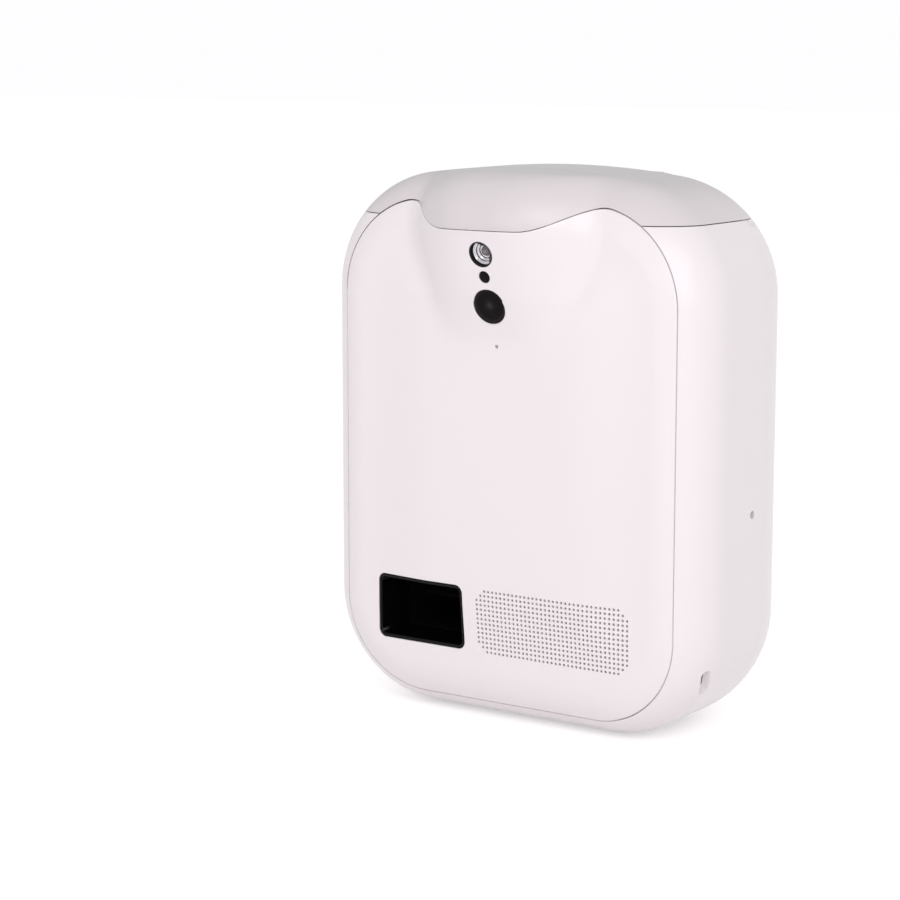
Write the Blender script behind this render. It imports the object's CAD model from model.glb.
from math import atan2, cos, pi, radians, sin, sqrt

import bmesh
import bpy
import numpy as np
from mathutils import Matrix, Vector
from mathutils.geometry import delaunay_2d_cdt


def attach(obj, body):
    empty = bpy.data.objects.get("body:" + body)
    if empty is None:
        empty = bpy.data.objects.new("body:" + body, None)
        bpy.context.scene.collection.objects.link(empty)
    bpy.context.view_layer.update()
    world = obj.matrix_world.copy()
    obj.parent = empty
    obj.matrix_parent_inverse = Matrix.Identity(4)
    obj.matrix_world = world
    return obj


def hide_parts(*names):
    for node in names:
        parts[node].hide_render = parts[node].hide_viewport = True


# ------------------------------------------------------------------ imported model
# A treat tossing pet camera: white housing, front panel with a nose for its camera, hinged lid over a hopper.
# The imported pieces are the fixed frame. Sizes below are millimetres, depths count back from the flat front.
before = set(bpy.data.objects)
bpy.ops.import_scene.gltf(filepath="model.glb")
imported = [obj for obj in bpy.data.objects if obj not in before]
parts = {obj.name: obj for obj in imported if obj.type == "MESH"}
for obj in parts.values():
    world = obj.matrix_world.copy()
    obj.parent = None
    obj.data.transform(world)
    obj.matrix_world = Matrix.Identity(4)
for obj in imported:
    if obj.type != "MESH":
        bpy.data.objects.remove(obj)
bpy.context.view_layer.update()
scene = bpy.context.scene
scene.view_settings.view_transform = "Standard"

# ------------------------------------------------------------------ camera
# Stands to the right of the front and a little above it, about a metre away, with a long lens.
camera = bpy.data.objects.new("camera", bpy.data.cameras.new("camera"))
scene.collection.objects.link(camera)
camera.location = (0.5772, -0.9112, 0.2954)
camera.rotation_euler = (radians(80.56), 0, radians(34.7))
camera.data.sensor_width = 36
camera.data.lens = 99.93
scene.camera = camera

# ------------------------------------------------------------------ front panel
# One moulded plate of white gloss ABS, domed, with the camera's nose drawn up out of it at the top.
# It is dropped into the housing's mouth with a fine seam all round and screwed on from behind.
# Its speaker field is a grid of pierced pinholes.
case_width, case_height, case_depth = 192.0, 240.0, 100.0
foot_gap = 1.2
crown_radius, top_corner, bottom_corner = 400.0, 51.3, 50.0
front_round, back_round = 24.0, 46.0
dip_z = 215.6
dome_height, dome_reach = 3.0, 40.0
nose_start_z, nose_slope, nose_ease = 168.0, 0.41, 6.0
nose_flat, nose_half, nose_turn = 8.0, 50.0, 5.0
nose_length, nose_narrowing, flank_turn = 47.6, 16.0, 0.7
corner_x = case_width / 2 - top_corner
crown_z = case_height - crown_radius
corner_z = crown_z + sqrt((crown_radius - top_corner) ** 2 - corner_x**2)
crown_angle = atan2(corner_x, corner_z - crown_z)
low_x = case_width / 2 - bottom_corner
low_z = foot_gap + bottom_corner


def inset_at(x, z):
    """Distance inwards from the case's front outline."""
    across = np.abs(x)
    inset = np.minimum(case_width / 2 - across, z - foot_gap)
    low = bottom_corner - np.hypot(across - low_x, z - low_z)
    inset = np.where((z < low_z) & (across > low_x), low, inset)
    arch = crown_radius - np.hypot(across, z - crown_z)
    corner = top_corner - np.hypot(np.maximum(across - corner_x, 0), z - corner_z)
    upper = np.where(np.arctan2(across, z - crown_z) < crown_angle, arch, corner)
    return np.where(z > corner_z, upper, inset)


def ease(t):
    """Smooth step from 0 to 1."""
    t = np.clip(t, 0, 1)
    return t * t * (3 - 2 * t)


def nose_at(x, z):
    """How far the nose stands forward of the front face."""
    rise = np.minimum(z, dip_z) - nose_start_z
    reach = nose_slope * (rise + np.hypot(rise, nose_ease)) / 2
    reach = reach + nose_slope * nose_turn * (1 - np.exp(-np.maximum(z - dip_z, 0) / nose_turn))
    half = nose_half - nose_narrowing * ease((dip_z - z) / nose_length)
    t = np.clip((np.abs(x) - nose_flat) / (half - nose_flat), 0, 1)
    return reach * (1 - np.where(t < flank_turn, t**2 / flank_turn, 1 - (1 - t) ** 2 / (1 - flank_turn)))


def panel_depth(x, z):
    """Depth of the panel's outer surface."""
    inset = inset_at(x, z)
    steep = front_round / 4
    step = front_round - np.maximum(inset, steep)
    fall = front_round - np.sqrt(front_round**2 - np.maximum(step, 0) ** 2)
    fall = fall + np.maximum(steep - inset, 0) * step / np.sqrt(front_round**2 - (front_round - steep) ** 2)
    return fall - dome_height * ease((inset - front_round) / dome_reach) - nose_at(x, z)


# y of the flat front: the tip of the nose and the back stand equally far from the origin
nose_samples = 60
front_y = (-min(panel_depth(0.0, dip_z + s / 4) for s in range(nose_samples)) - case_depth) / 2


def panel_skin(x, depth, z):
    """Height of a point above the panel's outer surface."""
    return panel_depth(x, z) - depth


# half the span over which a skin's slope is taken, and a guard against dividing by nought
probe, tiny = 0.02, 1e-9


def case_spots(points):
    """x, depth behind the flat front and z, in millimetres, of points given in metres."""
    return points[:, 0] * 1000, points[:, 1] * 1000 - front_y, points[:, 2] * 1000


def slope_of(skin, points):
    """Outward direction of a skin at points given in metres."""
    x, depth, z = case_spots(points)
    grad = np.stack(
        [
            skin(x + probe, depth, z) - skin(x - probe, depth, z),
            skin(x, depth + probe, z) - skin(x, depth - probe, z),
            skin(x, depth, z + probe) - skin(x, depth, z - probe),
        ],
        axis=1,
    )
    return grad / np.maximum(np.linalg.norm(grad, axis=1), tiny)[:, None]


def height_over(skin, points):
    """Height of points, in metres, above a skin, in millimetres."""
    return skin(*case_spots(points))


# Vertices closer than weld are joined and edges shorter than collapse dropped, both in metres.
# Between faces of the skin, a sliver smaller than this in square metres counts as skin too.
weld, collapse, sliver_area = 1.5e-5, 1e-5, 5e-8
# The lid's crown, above this height and behind this y in metres, has no openings, and its mesh strays further.
# So its faces count as skin within a wider reach, in millimetres.
crown_z_from, crown_y_from, crown_reach = 0.232, 0.012, 2.0
# the least cosine between a face of the skin and the skin's own direction, elsewhere and on the crown
turn_least, crown_turn_least = 0.76, 0.05
# how far from the true skin, in millimetres, faces of the housing and the lid, and of the panel, may lie
shell_reach, panel_reach = 0.25, 0.7


def on_crown(points):
    """Which points lie on the closed crown at the back of the lid."""
    return (points[:, 2] > crown_z_from) & (points[:, 1] > crown_y_from)


def opened(node, skin, reach):
    """Merged copy of a shell's mesh, and its faces within reach of its outer skin."""
    bm = bmesh.new()
    bm.from_mesh(parts[node].data)
    bmesh.ops.remove_doubles(bm, verts=bm.verts, dist=weld)
    bmesh.ops.dissolve_degenerate(bm, edges=bm.edges, dist=collapse)
    bm.normal_update()
    bm.verts.index_update()
    points = np.array([v.co for v in bm.verts])
    near = np.abs(height_over(skin, points)) < np.where(on_crown(points), crown_reach, reach)
    flat = [f for f in bm.faces if all(near[v.index] for v in f.verts)]
    middles = np.array([f.calc_center_median() for f in flat])
    facing = np.einsum("ij,ij->i", np.array([f.normal for f in flat]), slope_of(skin, middles))
    least = np.where(on_crown(middles), crown_turn_least, turn_least)
    inside = {f for f, turn in zip(flat, facing > least) if turn}
    slivers = [f for f in flat if f not in inside and f.calc_area() < sliver_area]
    inside.update(f for f in slivers if sum(any(g in inside for g in e.link_faces) for e in f.edges) > 1)
    return bm, [f for f in flat if f in inside]


def settle(skin, verts, sink=0.0):
    """Puts vertices exactly on a skin, or sink under it."""
    points = np.array([v.co for v in verts])
    for _ in range(2):
        lift = height_over(skin, points) + sink
        points -= slope_of(skin, points) * lift[:, None] / 1000
    for v, point in zip(verts, points):
        v.co = point


def finished(bm, name):
    """Piece made of a bmesh."""
    mesh = bpy.data.meshes.new(name)
    bm.to_mesh(mesh)
    bm.free()
    piece = bpy.data.objects.new(name, mesh)
    scene.collection.objects.link(piece)
    return piece


def smoothed(node, skin):
    """Copy of a shell whose outer vertices lie exactly on its skin."""
    bm, outer = opened(node, skin, shell_reach)
    settle(skin, list({v for f in outer for v in f.verts}))
    return finished(bm, node + "_shell")


def within(points, walls):
    """Which points lie inside a set of closed outlines, given as segments."""
    x, z = points[:, 0][:, None], points[:, 1][:, None]
    x1, z1, x2, z2 = walls.T
    crosses = (z1 > z) != (z2 > z)
    rise = np.where(z2 == z1, 1, z2 - z1)
    return (crosses & (x < x1 + (z - z1) * (x2 - x1) / rise)).sum(axis=1) % 2 == 1


def clearance(points, walls):
    """Distance from points to the nearest of the segments."""
    start, along = walls[:, :2], walls[:, 2:] - walls[:, :2]
    length = np.maximum((along**2).sum(axis=1), tiny)
    best = np.full(len(points), np.inf)
    for origin, way, size in zip(start, along, length):
        t = np.clip(((points - origin) @ way) / size, 0, 1)
        best = np.minimum(best, np.hypot(*(points - origin - t[:, None] * way).T))
    return best


# points of the panel's new mesh that lie closer than this, in millimetres, are one
point_snap = 1e-5


def redrawn(node, rim, drop, pitch):
    """Copy of the panel with its face laid anew on a fine even mesh, rims softened round outline and holes."""
    bm, outer = opened(node, panel_skin, panel_reach)
    inside = set(outer)
    border = [e for e in bm.edges if sum(f in inside for f in e.link_faces) == 1]
    inward = {}
    for e in border:
        middle = next(f for f in e.link_faces if f in inside).calc_center_median()
        a, b = e.verts
        across = Vector((-(b.co.z - a.co.z), b.co.x - a.co.x)).normalized()
        if across.dot(Vector((middle.x - a.co.x, middle.z - a.co.z))) < 0:
            across.negate()
        for v in (a, b):
            inward[v] = inward.get(v, Vector((0, 0))) + across

    def on_skin(x, z):
        return bm.verts.new((x / 1000, (front_y + float(panel_depth(x, z))) / 1000, z / 1000))

    inner = {}
    for v, way in inward.items():
        # mitred, so the rim keeps its width round a corner, but never more than twice as wide
        step = way * (2 * rim / max(way.length_squared, 1))
        inner[v] = on_skin(v.co.x * 1000 + step.x, v.co.z * 1000 + step.y)
    pairs = [tuple(e.verts) for e in border]
    lip = list(inward)
    bmesh.ops.delete(bm, geom=outer, context="FACES")
    for a, b in pairs:
        bm.faces.new((a, b, inner[b], inner[a]))
    settle(panel_skin, lip, drop)
    loops = list(inner.values())
    place = {v: i for i, v in enumerate(loops)}
    outline = [(place[inner[a]], place[inner[b]]) for a, b in pairs]
    flat = np.array([(v.co.x * 1000, v.co.z * 1000) for v in loops])
    walls = np.array([(*flat[i], *flat[j]) for i, j in outline])
    low, high = flat.min(axis=0), flat.max(axis=0)
    columns, rows = (np.arange(first, last, pitch) for first, last in zip(low, high))
    grid = np.array([(x, z) for x in columns for z in rows])
    grid = grid[within(grid, walls)]
    grid = grid[clearance(grid, walls) > pitch / 2]
    points = [Vector(p) for p in flat] + [Vector(p) for p in grid]
    spots, _, faces, origins, _, _ = delaunay_2d_cdt(points, outline, [], 0, point_snap)
    made = [loops[o[0]] if o and o[0] < len(loops) else on_skin(*spot) for spot, o in zip(spots, origins)]
    centres = np.array([sum((spots[i] for i in f), Vector((0, 0))) / len(f) for f in faces])
    for f, kept in zip(faces, within(centres, walls)):
        if kept:
            bm.faces.new([made[i] for i in f])
    bmesh.ops.delete(bm, geom=[v for v in bm.verts if not v.link_faces], context="VERTS")
    bmesh.ops.recalc_face_normals(bm, faces=bm.faces)
    return finished(bm, node + "_shell")


def shade(mesh, angle):
    """Smooth shading that keeps edges sharper than angle crisp."""
    mesh.polygons.foreach_set("use_smooth", [True] * len(mesh.polygons))
    mesh.set_sharp_from_angle(angle=radians(angle))


# edges sharper than these angles stay crisp: on shells, turned pieces, the outlet and screws
shell_crease, turned_crease, outlet_crease, screw_crease = 32, 38, 40, 30
# corners this close to the skin, in millimetres, of faces with at least this cosine to it, get its true normals
polish_reach, polish_least = 0.12, 0.8


def polish(piece, skin, flow=None):
    """True normals on the outer skin, so its curve reflects evenly whatever its triangles are."""
    mesh = piece.data
    shade(mesh, shell_crease)
    count = len(mesh.loops)
    corner = np.empty(count * 3)
    mesh.corner_normals.foreach_get("vector", corner)
    corner = corner.reshape(-1, 3)
    point = np.empty(len(mesh.vertices) * 3)
    mesh.vertices.foreach_get("co", point)
    point = point.reshape(-1, 3)
    of_loop = np.empty(count, int)
    mesh.loops.foreach_get("vertex_index", of_loop)
    face = np.empty(len(mesh.polygons) * 3)
    mesh.polygons.foreach_get("normal", face)
    totals = np.empty(len(mesh.polygons), int)
    mesh.polygons.foreach_get("loop_total", totals)
    face = np.repeat(face.reshape(-1, 3), totals, axis=0)
    true = slope_of(flow or skin, point)[of_loop]
    close = (np.abs(height_over(skin, point)) < polish_reach)[of_loop]
    # every corner of the face has to be close, but for one in a face of more than three
    starts = np.concatenate([[0], np.cumsum(totals)[:-1]])
    near = close & np.repeat(np.add.reduceat(close.astype(int), starts) >= totals - (totals > 3), totals)
    out = near & (np.einsum("ij,ij->i", face, true) > polish_least)
    corner[out] = true[out]
    mesh.normals_split_custom_set(corner.tolist())


def colour(code):
    """Linear colour of an sRGB hex code."""
    shares = [int(code[i : i + 2], 16) / 255 for i in (1, 3, 5)]
    return [c / 12.92 if c <= 0.04045 else ((c + 0.055) / 1.055) ** 2.4 for c in shares] + [1.0]


def add(tree, kind, inputs=(), **settings):
    """Adds one node: its settings by name, its inputs by socket name or number, each a value or a link."""
    made = tree.nodes.new(kind)
    for key, value in settings.items():
        setattr(made, key, value)
    for key, value in dict(inputs).items():
        if isinstance(value, bpy.types.NodeSocket):
            tree.links.new(value, made.inputs[key])
        else:
            made.inputs[key].default_value = value
    return made


def finish_named(name, roughness, **constants):
    """New material with its tree, its surface shader, set to plain numbers, and the piece's own coordinates."""
    made = bpy.data.materials.new(name)
    made.use_nodes = True
    surface = made.node_tree.nodes["Principled BSDF"]
    surface.inputs["Roughness"].default_value = roughness
    for key, value in constants.items():
        surface.inputs[key.replace("_", " ")].default_value = value
    place = add(made.node_tree, "ShaderNodeTexCoord").outputs["Object"]
    return made, made.node_tree, surface, place


def noise(tree, place, size, detail):
    """Cloudy pattern with patches about size millimetres across."""
    made = add(tree, "ShaderNodeTexNoise", {"Vector": place, "Scale": 1000 / size, "Detail": detail})
    return made.outputs["Fac"]


def toned(tree, surface, pattern, first, second):
    """Base colour that follows a pattern from one tone to another."""
    tone = add(tree, "ShaderNodeMix", {0: pattern, 6: colour(first), 7: colour(second)}, data_type="RGBA")
    tree.links.new(tone.outputs[2], surface.inputs["Base Color"])


def worn(tree, surface, pattern, least, most):
    """Roughness that follows a pattern."""
    rough = add(tree, "ShaderNodeMapRange", {"Value": pattern, "To Min": least, "To Max": most})
    tree.links.new(rough.outputs["Result"], surface.inputs["Roughness"])


def raised(tree, surface, pattern, strength, depth):
    """Fine relief that follows a pattern, depth millimetres deep."""
    bump = add(tree, "ShaderNodeBump", {"Height": pattern, "Strength": strength, "Distance": depth / 1000})
    tree.links.new(bump.outputs["Normal"], surface.inputs["Normal"])


def moulded(name, body, shade_code, roughness, cloud=45.0, grain=0.35, depth=0.004, **constants):
    """Injection-moulded plastic: a faint cloud of tone and the tool's fine grain."""
    made, tree, surface, place = finish_named(name, roughness, **constants)
    toned(tree, surface, noise(tree, place, cloud, 1.0), body, shade_code)
    raised(tree, surface, noise(tree, place, grain, 3.0), 0.35, depth)
    return made


# white gloss ABS: cool pinkish white, one tone throughout, with a gloss that softens highlights a little
white_abs = moulded("white_abs", "#F1E9EC", "#F1E9EC", 0.27)

# the field's pitches and hole radius, its counts, its middle in x and z, and the punch that makes one hole
hole_across, hole_up, grille_hole = 2.05, 2.1, 0.6
grille_columns, grille_rows = 37, 14
grille_at = (26.3, 46.25)
punch_sides, punch_length = 12, 20.0
# a hole is left out where its counts in from the side and from the end add up to less than this
corner_count = 1.5


def grille_tree():
    """Geometry nodes that pierce a plate with a grid of pinholes, its corners left out step by step."""
    tree = bpy.data.node_groups.new("pierced_field", "GeometryNodeTree")
    face = tree.interface
    face.new_socket("Plate", in_out="INPUT", socket_type="NodeSocketGeometry")
    for name, kind in (
        ("Pitch across", "NodeSocketFloat"),
        ("Pitch up", "NodeSocketFloat"),
        ("Hole radius", "NodeSocketFloat"),
        ("Columns", "NodeSocketInt"),
        ("Rows", "NodeSocketInt"),
        ("Centre", "NodeSocketVector"),
        ("Finish", "NodeSocketMaterial"),
    ):
        face.new_socket(name, in_out="INPUT", socket_type=kind)
    face.new_socket("Plate", in_out="OUTPUT", socket_type="NodeSocketGeometry")
    given = add(tree, "NodeGroupInput").outputs

    def math(operation, first, second):
        return add(tree, "ShaderNodeMath", {0: first, 1: second}, operation=operation).outputs[0]

    last_column = math("SUBTRACT", given["Columns"], 1)
    last_row = math("SUBTRACT", given["Rows"], 1)
    grid = add(
        tree,
        "GeometryNodeMeshGrid",
        {
            "Size X": math("MULTIPLY", given["Pitch across"], last_column),
            "Size Y": math("MULTIPLY", given["Pitch up"], last_row),
            "Vertices X": given["Columns"],
            "Vertices Y": given["Rows"],
        },
    )
    index = add(tree, "GeometryNodeInputIndex").outputs[0]
    column = math("FLOOR", math("DIVIDE", math("ADD", index, 0.5), given["Rows"]), 0)
    row = math("SUBTRACT", index, math("MULTIPLY", column, given["Rows"]))
    from_side = math("MINIMUM", column, math("SUBTRACT", last_column, column))
    from_end = math("MINIMUM", row, math("SUBTRACT", last_row, row))
    left_out = math("LESS_THAN", from_end, math("SUBTRACT", corner_count, from_side))
    field = add(
        tree,
        "GeometryNodeDeleteGeometry",
        {"Geometry": grid.outputs["Mesh"], "Selection": left_out},
        domain="POINT",
    )
    stood = add(
        tree,
        "GeometryNodeTransform",
        {"Geometry": field.outputs[0], "Translation": given["Centre"], "Rotation": (pi / 2, 0, 0)},
    )
    punch = add(
        tree,
        "GeometryNodeMeshCylinder",
        {"Vertices": punch_sides, "Radius": given["Hole radius"], "Depth": punch_length / 1000},
    )
    laid = add(tree, "GeometryNodeTransform", {"Geometry": punch.outputs["Mesh"], "Rotation": (pi / 2, 0, 0)})
    punches = add(
        tree, "GeometryNodeInstanceOnPoints", {"Points": stood.outputs[0], "Instance": laid.outputs[0]}
    )
    real = add(tree, "GeometryNodeRealizeInstances", {"Geometry": punches.outputs[0]})
    pierced = add(
        tree,
        "GeometryNodeMeshBoolean",
        {0: given["Plate"], 1: real.outputs[0]},
        operation="DIFFERENCE",
        solver="MANIFOLD",
    )
    whole = add(tree, "GeometryNodeRealizeInstances", {"Geometry": pierced.outputs["Mesh"]})
    coated = add(
        tree, "GeometryNodeSetMaterial", {"Geometry": whole.outputs[0], "Material": given["Finish"]}
    )
    add(tree, "NodeGroupOutput", {"Plate": coated.outputs[0]})
    return tree


def grown(piece, tree, **inputs):
    """Runs a geometry node tree on a piece once and keeps the plain mesh."""
    growth = piece.modifiers.new("growth", "NODES")
    growth.node_group = tree
    named = {item.name: item.identifier for item in tree.interface.items_tree if item.in_out == "INPUT"}
    for key, value in inputs.items():
        growth[named[key.replace("_", " ")]] = value
    seen = piece.evaluated_get(bpy.context.evaluated_depsgraph_get())
    mesh = bpy.data.meshes.new_from_object(seen)
    piece.modifiers.clear()
    piece.data = mesh
    return piece


rim_width, rim_drop, panel_pitch = 0.5, 0.28, 2.5
panel = redrawn("front_panel", rim_width, rim_drop, panel_pitch)
panel.data.materials.append(white_abs)
grown(
    panel,
    grille_tree(),
    Pitch_across=hole_across / 1000,
    Pitch_up=hole_up / 1000,
    Hole_radius=grille_hole / 1000,
    Columns=grille_columns,
    Rows=grille_rows,
    Centre=(grille_at[0] / 1000, front_y / 1000, grille_at[1] / 1000),
    Finish=white_abs,
)
polish(panel, panel_skin)
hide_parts("front_panel")
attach(panel, "case")

# ------------------------------------------------------------------ rear housing
# Sides, back and floor of the case in one deep shell of the same white gloss ABS, with soft outer corners.
# Finger scoops, the reset hole and the slanted power port are moulded into it.


def block_skin(x, depth, z, sink=0.0):
    """Height above the rounded block of the case, stepped in by sink."""
    inset = inset_at(x, z) - sink
    near = front_round - sink
    a, b = near - inset, near - (depth - sink)
    front = np.hypot(np.maximum(a, 0), np.maximum(b, 0)) - near + np.minimum(np.maximum(a, b), 0)
    far = back_round - sink
    a, b = far - inset, far - (case_depth - sink - depth)
    back = np.hypot(np.maximum(a, 0), np.maximum(b, 0)) - far + np.minimum(np.maximum(a, b), 0)
    return np.maximum(front, back)


housing = smoothed("rear_housing", block_skin)
housing.data.materials.append(white_abs)
polish(housing, block_skin)
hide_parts("rear_housing")
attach(housing, "case")

# ------------------------------------------------------------------ lid
# Domed lid of a slightly greyer ABS that runs forward over the top of the nose and swings on a pin at the back.
# A skirt inside it presses on the hopper's seal.
lip_sink, lip_dive, lip_margin, join_width = 0.3, 3.0, 6.0, 2.5


def lip_skin(x, depth, z):
    """Height above the lid's part of the nose."""
    sink = lip_sink + lip_dive * ease((np.abs(x) - nose_half + 2 * lip_margin) / (3 * lip_margin))
    lift = lip_sink * nose_at(x, dip_z) / nose_at(0.0, dip_z)
    return block_skin(x, depth + nose_at(x, z) + lift, z, sink)


def lid_skin(x, depth, z):
    """Height above the lid: the case's block joined to the nose."""
    return np.minimum(block_skin(x, depth, z), lip_skin(x, depth, z))


def lid_flow(x, depth, z):
    """The same skin with the join between block and nose eased, for its normals."""
    a, b = block_skin(x, depth, z), lip_skin(x, depth, z)
    share = np.clip(0.5 + (b - a) / (2 * join_width), 0, 1)
    return b + (a - b) * share - join_width * share * (1 - share)


# lid ABS: the white's grey neighbour, a touch duller
lid_abs = moulded("lid_abs", "#DDD5D8", "#DDD5D8", 0.3)
lid = smoothed("lid", lid_skin)
lid.data.materials.append(lid_abs)
polish(lid, lid_skin, lid_flow)
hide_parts("lid")
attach(lid, "lid_body")

# ------------------------------------------------------------------ camera, lamp and sensor in the nose
# Black glass windows for the camera and the light sensor, and a chromed reflector round a pearly lamp dome.
# Each sits square to the nose's slope in its own round hole.
lamp_z, sensor_z, lens_z = 205.6, 196.0, 183.2
nose_lean = (panel_depth(0.0, lens_z) - panel_depth(0.0, lamp_z)) / (lamp_z - lens_z)
nose_out = Vector((0, -1, -nose_lean)).normalized()


def turned(name, z, profile, steps=72):
    """Turned piece square to the nose. Its profile is (radius, rise above the nose's surface), and closed."""
    base = Vector((0, front_y + panel_depth(0.0, z), z))
    across = Vector((1, 0, 0))
    up = nose_out.cross(across).normalized()
    bm = bmesh.new()
    rings = []
    for radius, rise in profile:
        middle = base + nose_out * rise
        if radius == 0:
            rings.append([bm.verts.new(middle / 1000)])
            continue
        ring = []
        for s in range(steps):
            turn = 2 * pi * s / steps
            ring.append(bm.verts.new((middle + (across * cos(turn) + up * sin(turn)) * radius) / 1000))
        rings.append(ring)
    for first, second in zip(rings, rings[1:] + rings[:1]):
        if len(first) == 1 and len(second) == 1:
            continue
        for s in range(steps):
            t = (s + 1) % steps
            corners = [loop[i % len(loop)] for loop, i in ((first, s), (first, t), (second, t), (second, s))]
            bm.faces.new(list(dict.fromkeys(corners)))
    bmesh.ops.recalc_face_normals(bm, faces=bm.faces)
    piece = finished(bm, name)
    shade(piece.data, turned_crease)
    return piece


def fit(piece, finish, body, slot, *replaced):
    """Gives a finished piece its material, its slot, the node it stands for and the body it rides on."""
    piece.data.materials.clear()
    piece.data.materials.append(finish)
    if replaced:
        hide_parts(*replaced)
    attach(piece, body)


def coat(finish, *names):
    """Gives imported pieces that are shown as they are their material."""
    for name in names:
        parts[name].data.materials.clear()
        parts[name].data.materials.append(finish)


# smoked glass: almost black right through and polished; the lens behind it is a soft grey spot, off the middle
heart_x, heart_z, heart_reach = 0.6, lens_z + 0.8, 8.0
lens_heart = Vector((heart_x, front_y + float(panel_depth(heart_x, heart_z)), heart_z)) / 1000
glass_tones = (
    (0.0, "#3E383C"),
    (0.12, "#2A2528"),
    (0.34, "#0E0A0C"),
    (0.78, "#0B0709"),
    (0.88, "#2B2528"),
    (1.0, "#0D090B"),
)
window_glass, tree, surface, place = finish_named("smoked_glass", 0.05, IOR=1.5, Specular_IOR_Level=0.07)
away = add(tree, "ShaderNodeVectorMath", {0: place, 1: lens_heart}, operation="DISTANCE")
reach = add(tree, "ShaderNodeMath", {0: away.outputs["Value"], 1: 1000 / heart_reach}, operation="MULTIPLY")
dark = add(tree, "ShaderNodeValToRGB", {"Fac": reach.outputs[0]})
dark.color_ramp.interpolation = "B_SPLINE"
stops, ends = dark.color_ramp.elements, {0.0: 0, 1.0: -1}
for at, code in glass_tones:
    stop = stops[ends[at]] if at in ends else stops.new(at)
    stop.color = colour(code)
tree.links.new(dark.outputs["Color"], surface.inputs["Base Color"])
window = turned(
    "camera_glass",
    lens_z,
    [
        (0, -0.02), (3, -0.04), (5.6, -0.1), (7.0, -0.16), (7.35, -0.25), (7.65, -0.62), (7.7, -0.8),
        (7.7, -1.7), (0, -1.7),
    ],
)
fit(window, window_glass, "case", "lens_glass", "camera_window")
eye = turned(
    "sensor_glass",
    sensor_z,
    [(0, -0.05), (1.5, -0.1), (2.2, -0.22), (2.5, -0.45), (2.6, -0.7), (2.6, -1.7), (0, -1.7)],
    48,
)
fit(eye, window_glass, "case", "lens_glass", "sensor_window")

# chrome on ABS: mirror bright, with the faintest polishing haze
chrome, tree, surface, place = finish_named("chrome_plate", 0.08, Metallic=1.0)
haze = noise(tree, place, 1.5, 3.0)
toned(tree, surface, haze, "#C9C7CB", "#B9B6BB")
worn(tree, surface, haze, 0.06, 0.16)
black_abs = moulded("black_abs", "#0E0D0F", "#141315", 0.38)
lining = turned(
    "lamp_lining",
    lamp_z,
    [(5.35, -0.3), (5.5, -0.3), (5.6, -0.45), (5.6, -3.6), (5.3, -3.6), (5.3, -0.4)],
)
fit(lining, black_abs, "case", "black_abs")
bowl = turned(
    "lamp_bowl",
    lamp_z,
    [
        (5.05, -2.5), (5.25, -2.7), (5.25, -6.0), (3.4, -6.0), (3.4, -13), (1.6, -13), (1.6, -5.3), (2.4, -5.3),
        (3.0, -4.9), (3.1, -4.3), (3.95, -3.8), (4.05, -3.2), (4.8, -2.7),
    ],
)
fit(bowl, chrome, "case", "chrome", "lamp_reflector")

# pearl acrylic: milky dome that spreads the lamp's light
pearl, tree, surface, place = finish_named(
    "pearl_acrylic", 0.18, Subsurface_Weight=0.25, Subsurface_Scale=0.001
)
toned(tree, surface, noise(tree, place, 1.2, 2.0), "#8E888B", "#777175")
dome = turned(
    "lamp_pearl",
    lamp_z,
    [
        (0, -2.8), (0.6, -2.88), (1.15, -3.12), (1.6, -3.5), (1.95, -3.98), (2.15, -4.5), (2.2, -5.0),
        (1.5, -5.1), (1.5, -13), (0, -13),
    ],
    48,
)
fit(dome, pearl, "case", "pearl", "lamp_dome")

# camera optics behind the glass: black barrel, coated lens
lens_coat, tree, surface, place = finish_named("coated_lens", 0.03, Specular_IOR_Level=0.8)
toned(tree, surface, noise(tree, place, 6.0, 1.0), "#1B1426", "#131C2A")
coat(lens_coat, "camera_lens")
coat(black_abs, "camera_barrel", "light_sensor")

# ------------------------------------------------------------------ treat outlet
# A short square tunnel of polished black acrylic lines the window that the treats fly out of.
# Its edges are rounded by outlet_round in millimetres where faces meet more sharply than edge_angle in degrees.
# Faces that meet more flatly than flat_angle are merged first, and vertices closer than outlet_weld in metres.
outlet_round, edge_angle, flat_angle, outlet_weld = 0.45, 40, 3, 2e-6

# polished black acrylic: deep black, with a thin line of light along each rounded edge
smoke_black = moulded(
    "black_acrylic", "#070608", "#0B0A0C", 0.12, grain=0.8, depth=0.001, Specular_IOR_Level=0.16
)


def eased(node, width):
    """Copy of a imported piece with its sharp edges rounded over."""
    bm = bmesh.new()
    bm.from_mesh(parts[node].data)
    bmesh.ops.remove_doubles(bm, verts=bm.verts, dist=outlet_weld)
    bmesh.ops.dissolve_limit(bm, angle_limit=radians(flat_angle), verts=bm.verts, edges=bm.edges)
    sharp = [e for e in bm.edges if e.is_manifold and e.calc_face_angle(0) > radians(edge_angle)]
    bmesh.ops.bevel(bm, geom=sharp, offset=width / 1000, segments=3, affect="EDGES", clamp_overlap=True)
    made = finished(bm, node + "_eased")
    shade(made.data, outlet_crease)
    return made


fit(eased("outlet_tunnel", outlet_round), smoke_black, "case", "smoke_black", "outlet_tunnel")

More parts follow.
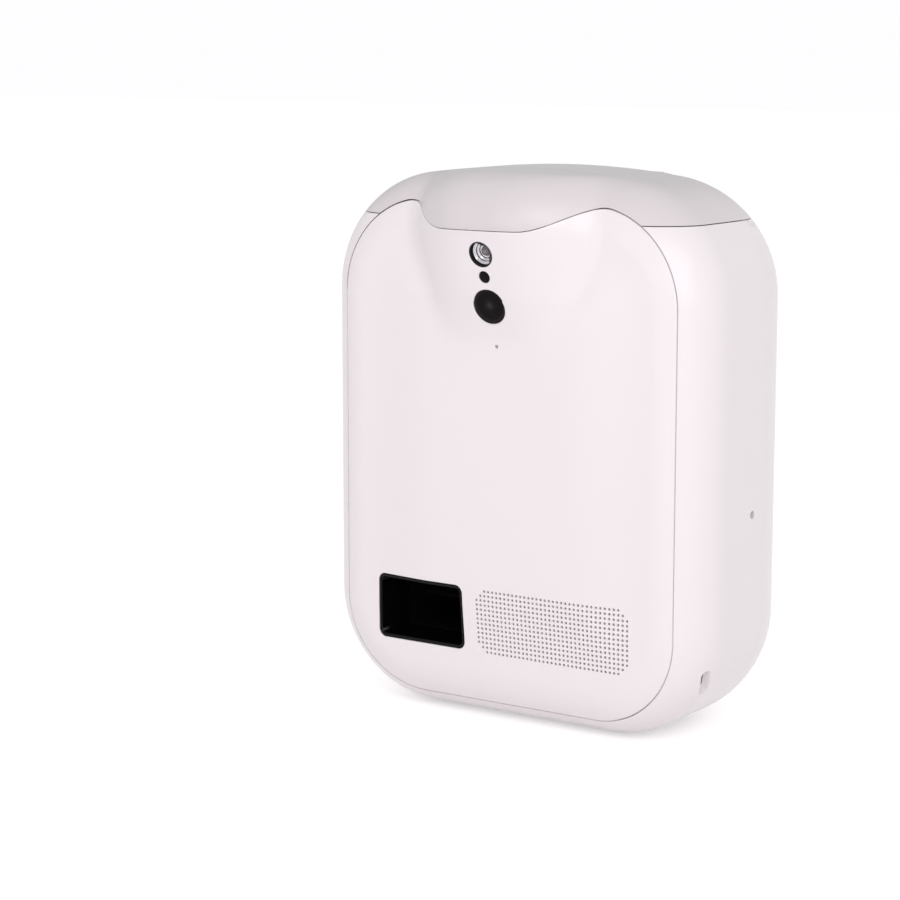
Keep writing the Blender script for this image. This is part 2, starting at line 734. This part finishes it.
# ------------------------------------------------------------------ speaker
# A round paper-cone driver in a steel basket sits behind the pinholes, with a foam gasket and a dust cloth.
thread_pitch = 2.4
cloth, tree, surface, place = finish_named("dust_cloth", 0.9, Sheen_Weight=0.3)
warp, weft = (
    add(tree, "ShaderNodeTexWave", {"Vector": place, "Scale": 1000 / thread_pitch}, bands_direction=way)
    for way in "XZ"
)
weave = add(tree, "ShaderNodeMath", {0: warp.outputs["Fac"], 1: weft.outputs["Fac"]}, operation="MULTIPLY")
toned(tree, surface, weave.outputs[0], "#2A272A", "#4A464A")
raised(tree, surface, weave.outputs[0], 0.6, 0.1)
coat(cloth, "speaker_cloth")
foam = moulded("black_foam", "#1C1B1D", "#2A292B", 0.9, grain=0.5, depth=0.15)
coat(foam, "speaker_gasket")
paper = moulded("pressed_paper", "#1E1D20", "#2B292D", 0.8, grain=0.9, depth=0.06)
coat(paper, "speaker_cone")


def metal(name, body, shade_code, roughness, stretch, grain):
    """Bare or plated metal with a fine lay: the pattern is stretched along the way it was worked."""
    made, tree, surface, place = finish_named(name, roughness, Metallic=1.0)
    lay = add(tree, "ShaderNodeMapping", {"Vector": place, "Scale": stretch})
    line = noise(tree, lay.outputs[0], grain, 3.0)
    toned(tree, surface, line, body, shade_code)
    worn(tree, surface, line, roughness - 0.07, roughness + 0.1)
    raised(tree, surface, line, 0.3, 0.01)
    return made


zinc = metal("bright_zinc", "#C4C6C9", "#A9ACB1", 0.32, (1, 1, 1), 0.8)
coat(zinc, "speaker_frame", "microphone", "power_socket")

# ------------------------------------------------------------------ hopper, seal and magnets
# The treat hopper is one natural ABS moulding with the deck round its mouth, screwed to four brackets.
# A grey silicone ring seals it, and pairs of nickel-plated magnets hold the lid shut.
natural = moulded("natural_abs", "#E6E3DC", "#DEDBD3", 0.45, grain=0.6, depth=0.012)
silicone = moulded("grey_silicone", "#9C9A9D", "#918F92", 0.62, grain=0.5, depth=0.01)
nickel = metal("bright_nickel", "#CFCBC6", "#B5B1AC", 0.18, (1, 1, 1), 1.5)
coat(natural, "hopper")
coat(silicone, "lid_seal", "portion_rotor")
coat(nickel, "lid_magnets", "deck_magnets")

# ------------------------------------------------------------------ dispenser
# The portion rotor turns in its drum and drops treats on the throwing wheel, each on a ground steel axle.
# Acetal gears on the right side are driven by two small motors on a steel plate.
steel = metal("ground_steel", "#B6B7BA", "#97989C", 0.3, (0.06, 1, 1), 0.25)
acetal = moulded("white_acetal", "#E9E6DE", "#E1DED6", 0.4, grain=0.5, depth=0.006)
can = metal("drawn_can", "#BFBFC1", "#A3A3A6", 0.26, (0.08, 1, 1), 0.4)
coat(steel, "rotor_axle", "wheel_axle", "motor_plate", "feed_motor_shaft", "throw_motor_shaft", "lid_hinge_pin")
coat(acetal, "rotor_gear", "wheel_gear", "feed_pinion", "throw_pinion")
coat(can, "feed_motor", "throw_motor")
coat(black_abs, "dispenser_frame", "dispenser_cover", "throwing_wheel", "reset_button")

# ------------------------------------------------------------------ boards
# Glass-fibre boards under green solder mask carry the chips, the camera, the reset switch and the power socket.
trace_pitch = 7.0
board, tree, surface, place = finish_named("solder_mask", 0.35, Coat_Weight=0.4)
cells = add(
    tree,
    "ShaderNodeTexBrick",
    {
        "Vector": place,
        "Scale": 1000 / trace_pitch,
        "Color1": colour("#0E4A25"),
        "Color2": colour("#0B3F20"),
        "Mortar": colour("#176334"),
        "Mortar Size": 0.03,
    },
    offset=0.5,
)
tree.links.new(cells.outputs["Color"], surface.inputs["Base Color"])
raised(tree, surface, cells.outputs["Fac"], 0.3, 0.04)
coat(board, "main_board", "camera_board", "reset_board", "power_board")
chip = moulded("chip_epoxy", "#161618", "#1E1E21", 0.5, grain=0.4, depth=0.01)
coat(chip, "board_chips", "reset_switch")

# ------------------------------------------------------------------ screws
# Zinc-plated pan-head screws with a cross recess hold the deck down and the panel to the housing's towers.
# Smaller ones hold the boards, the dispenser's cover and the motor plate.
head_radius, head_height, shank_radius = 2.8, 2.2, 1.45
head_sides, shank_sides = 40, 20
# shares of the head's radius: its flat top, and the length and width of the cross's bars
top_share, bar_length, bar_width = 0.72, 1.1, 0.26
deck_top, deck_screw_length = 215.2, 7.0
casing_seat, casing_length = 46.0, 20.0
deck_seats = [(x, front_y + depth, deck_top) for x in (-76, 76) for depth in (30, 63)]
casing_seats = [(x, front_y + casing_seat, z) for x in (-75, 75) for z in (62, 168)]


def screw_tree():
    """Geometry nodes that stand a pan-head screw with a cross recess on every point of a mesh."""
    tree = bpy.data.node_groups.new("cross_head_screws", "GeometryNodeTree")
    for name, kind in (
        ("Seats", "NodeSocketGeometry"),
        ("Head radius", "NodeSocketFloat"),
        ("Head height", "NodeSocketFloat"),
        ("Shank radius", "NodeSocketFloat"),
        ("Shank length", "NodeSocketFloat"),
        ("Turn", "NodeSocketRotation"),
        ("Finish", "NodeSocketMaterial"),
    ):
        tree.interface.new_socket(name, in_out="INPUT", socket_type=kind)
    tree.interface.new_socket("Screws", in_out="OUTPUT", socket_type="NodeSocketGeometry")
    given = add(tree, "NodeGroupInput").outputs

    def times(value, factor):
        return add(tree, "ShaderNodeMath", {0: value, 1: factor}, operation="MULTIPLY").outputs[0]

    body = add(
        tree,
        "GeometryNodeMeshCone",
        {
            "Vertices": head_sides,
            "Radius Top": times(given["Head radius"], top_share),
            "Radius Bottom": given["Head radius"],
            "Depth": given["Head height"],
        },
    ).outputs["Mesh"]
    lift = add(tree, "ShaderNodeCombineXYZ", {2: given["Head height"]})
    bar = add(
        tree,
        "ShaderNodeCombineXYZ",
        {
            0: times(given["Head radius"], bar_length),
            1: times(given["Head radius"], bar_width),
            2: given["Head height"],
        },
    )
    slot = add(tree, "GeometryNodeMeshCube", {"Size": bar.outputs[0]})
    for turn in (0, pi / 2):
        laid = add(
            tree,
            "GeometryNodeTransform",
            {"Geometry": slot.outputs["Mesh"], "Translation": lift.outputs[0], "Rotation": (0, 0, turn)},
        )
        body = add(
            tree,
            "GeometryNodeMeshBoolean",
            {0: body, 1: laid.outputs[0]},
            operation="DIFFERENCE",
            solver="MANIFOLD",
        ).outputs["Mesh"]
    shank = add(
        tree,
        "GeometryNodeMeshCylinder",
        {"Vertices": shank_sides, "Radius": given["Shank radius"], "Depth": given["Shank length"]},
    )
    down = add(tree, "ShaderNodeCombineXYZ", {2: times(given["Shank length"], -0.5)})
    hung = add(
        tree, "GeometryNodeTransform", {"Geometry": shank.outputs["Mesh"], "Translation": down.outputs[0]}
    )
    screw = add(tree, "GeometryNodeJoinGeometry")
    tree.links.new(body, screw.inputs[0])
    tree.links.new(hung.outputs[0], screw.inputs[0])
    stood = add(
        tree,
        "GeometryNodeInstanceOnPoints",
        {"Points": given["Seats"], "Instance": screw.outputs[0], "Rotation": given["Turn"]},
    )
    real = add(tree, "GeometryNodeRealizeInstances", {"Geometry": stood.outputs[0]})
    coated = add(tree, "GeometryNodeSetMaterial", {"Geometry": real.outputs[0], "Material": given["Finish"]})
    add(tree, "NodeGroupOutput", {"Screws": coated.outputs[0]})
    return tree


screws = screw_tree()
for node, seats, length, turn in (
    ("deck_screws", deck_seats, deck_screw_length, (0, 0, 0)),
    ("casing_screws", casing_seats, casing_length, (-pi / 2, 0, 0)),
):
    bm = bmesh.new()
    for seat in seats:
        bm.verts.new(Vector(seat) / 1000)
    row = grown(
        finished(bm, node + "_crossed"),
        screws,
        Head_radius=head_radius / 1000,
        Head_height=head_height / 1000,
        Shank_radius=shank_radius / 1000,
        Shank_length=length / 1000,
        Turn=turn,
        Finish=zinc,
    )
    shade(row.data, screw_crease)
    fit(row, zinc, "case", "zinc", node)
coat(zinc, "board_screws", "cover_screws", "plate_screws")

# ------------------------------------------------------------------ feet
# Four pads of dark rubber pressed into seats in the floor.
foot_rubber = moulded("foot_rubber", "#1B1B1D", "#232325", 0.75, grain=0.5, depth=0.02)
coat(foot_rubber, "feet")

# ------------------------------------------------------------------ room
# A plain pale floor, an even white sky that gloss sees greyer behind, a broad soft lamp and a low fill.
# Floor and sky are shown lighter than they light: half the floor's side in metres, its glow, the sky's light.
floor_half, floor_glow, sky_light = 8.0, 0.42, 0.68
# gloss sees the grey where a ray's share along this direction passes from the first level to the second
grey_way, grey_from, grey_full = (-0.55, 0.65, 0.52), 0.8, 0.95


def shown_rays(tree, **settings):
    """1 for rays from the camera, off gloss or through glass, which show a thing itself, and 0 for the rest."""
    seen = add(tree, "ShaderNodeLightPath").outputs
    plain = add(tree, "ShaderNodeMath", {0: seen["Is Camera Ray"], 1: seen["Is Glossy Ray"]}, operation="ADD")
    through = {0: plain.outputs[0], 1: seen["Is Transmission Ray"]}
    return add(tree, "ShaderNodeMath", through, operation="ADD", **settings).outputs[0]


ground = bpy.data.meshes.new("floor")
corners = [(x * floor_half, y * floor_half, 0) for x, y in ((-1, -1), (1, -1), (1, 1), (-1, 1))]
ground.from_pydata(corners, [], [(0, 1, 2, 3)])
floor = bpy.data.objects.new("floor", ground)
scene.collection.objects.link(floor)
pale = bpy.data.materials.new("pale_floor")
pale.use_nodes = True
tree = pale.node_tree
tree.nodes.remove(tree.nodes["Principled BSDF"])
matt = add(tree, "ShaderNodeBsdfDiffuse", {"Color": colour("#F4F3F4")})
level = add(tree, "ShaderNodeMath", {0: shown_rays(tree), 1: floor_glow}, operation="MULTIPLY")
glow = add(tree, "ShaderNodeEmission", {"Color": (1, 1, 1, 1), "Strength": level.outputs[0]})
both = add(tree, "ShaderNodeAddShader", {0: matt.outputs[0], 1: glow.outputs[0]})
tree.links.new(both.outputs[0], tree.nodes["Material Output"].inputs["Surface"])
floor.data.materials.append(pale)

sky = bpy.data.worlds.new("sky")
scene.world = sky
sky.use_nodes = True
tree = sky.node_tree
tree.nodes.remove(tree.nodes["Background"])
gloss = add(tree, "ShaderNodeLightPath").outputs["Is Glossy Ray"]
way = add(tree, "ShaderNodeTexCoord").outputs["Generated"]
behind = add(tree, "ShaderNodeVectorMath", {0: way, 1: grey_way}, operation="DOT_PRODUCT")
grey = add(
    tree,
    "ShaderNodeMapRange",
    {"Value": behind.outputs["Value"], "From Min": grey_from, "From Max": grey_full, "To Max": gloss},
    interpolation_type="SMOOTHSTEP",
)
air = add(
    tree,
    "ShaderNodeMix",
    {0: grey.outputs["Result"], 6: (0.99, 0.985, 1, 1), 7: colour("#B4BEBC")},
    data_type="RGBA",
)
white = add(tree, "ShaderNodeBackground", {"Color": air.outputs[2], "Strength": 1.0})
light = add(tree, "ShaderNodeBackground", {"Color": (1, 1, 1, 1), "Strength": sky_light})
outright = shown_rays(tree, use_clamp=True)
shown = add(tree, "ShaderNodeMixShader", {0: outright, 1: light.outputs[0], 2: white.outputs[0]})
tree.links.new(shown.outputs[0], tree.nodes["World Output"].inputs["Surface"])


def lamp(name, spot, target, size, power):
    """Broad soft lamp aimed at a point."""
    made = bpy.data.objects.new(name, bpy.data.lights.new(name, "AREA"))
    made.data.size = size
    made.data.energy = power
    made.location = spot
    made.rotation_euler = (Vector(target) - Vector(spot)).to_track_quat("-Z", "Y").to_euler()
    scene.collection.objects.link(made)


lamp("front_lamp", (1.42, -1.62, 0.94), (0, 0, 0.12), size=1.6, power=17.5)
lamp("low_fill", (-0.15, -1.78, 0.12), (0, 0, 0.06), size=1.1, power=3.6)
